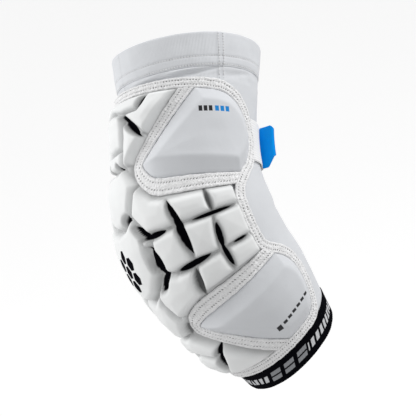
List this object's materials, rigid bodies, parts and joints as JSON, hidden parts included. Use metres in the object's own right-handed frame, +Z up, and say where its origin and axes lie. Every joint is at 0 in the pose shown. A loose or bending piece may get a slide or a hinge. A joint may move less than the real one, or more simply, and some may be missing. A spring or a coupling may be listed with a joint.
{
  "type": "lacrosse arm pad",
  "caption": "Worn arm guard for lacrosse: bent elastic sleeve with segmented foam elbow pad, padded side panels, cuff and closing strap.",
  "frame": {"origin": "middle of the elbow bend, on the axis of the arm that wears the pad", "axes": "+Z up along the upper arm towards the rim, -X behind the elbow, +X into the crook, -Y the outer side of the arm"},
  "size_m": [0.1787, 0.1429, 0.2766],
  "materials": {
    "white_knit": "matt fine stretch knit",
    "white_cloth": "smooth matt cloth over foam",
    "white_tape": "soft sewn tape with two rows of stitches",
    "white_foam": "satin moulded foam skin",
    "black_lining": "matt black knit",
    "black_elastic": "ribbed woven elastic",
    "blue_tab": "smooth soft moulded tab"
  },
  "bodies": {
    "root": {"sleeve": "white_knit", "top_hem": "white_knit", "forearm_cuff": "black_elastic", "pad_lining": "black_lining", "elbow_pad": "white_foam", "edge_binding": "white_tape", "upper_side_pad_outer": "white_cloth", "upper_seam_tape_outer": "white_tape", "upper_side_pad_inner": "white_cloth", "upper_seam_tape_inner": "white_tape", "lower_side_pad_outer": "white_cloth", "lower_seam_tape_outer": "white_tape", "lower_side_pad_inner": "white_cloth", "lower_seam_tape_inner": "white_tape", "strap_landing": "white_tape", "closing_strap": "white_tape", "strap_tab": "blue_tab"}
  },
  "joints": []
}
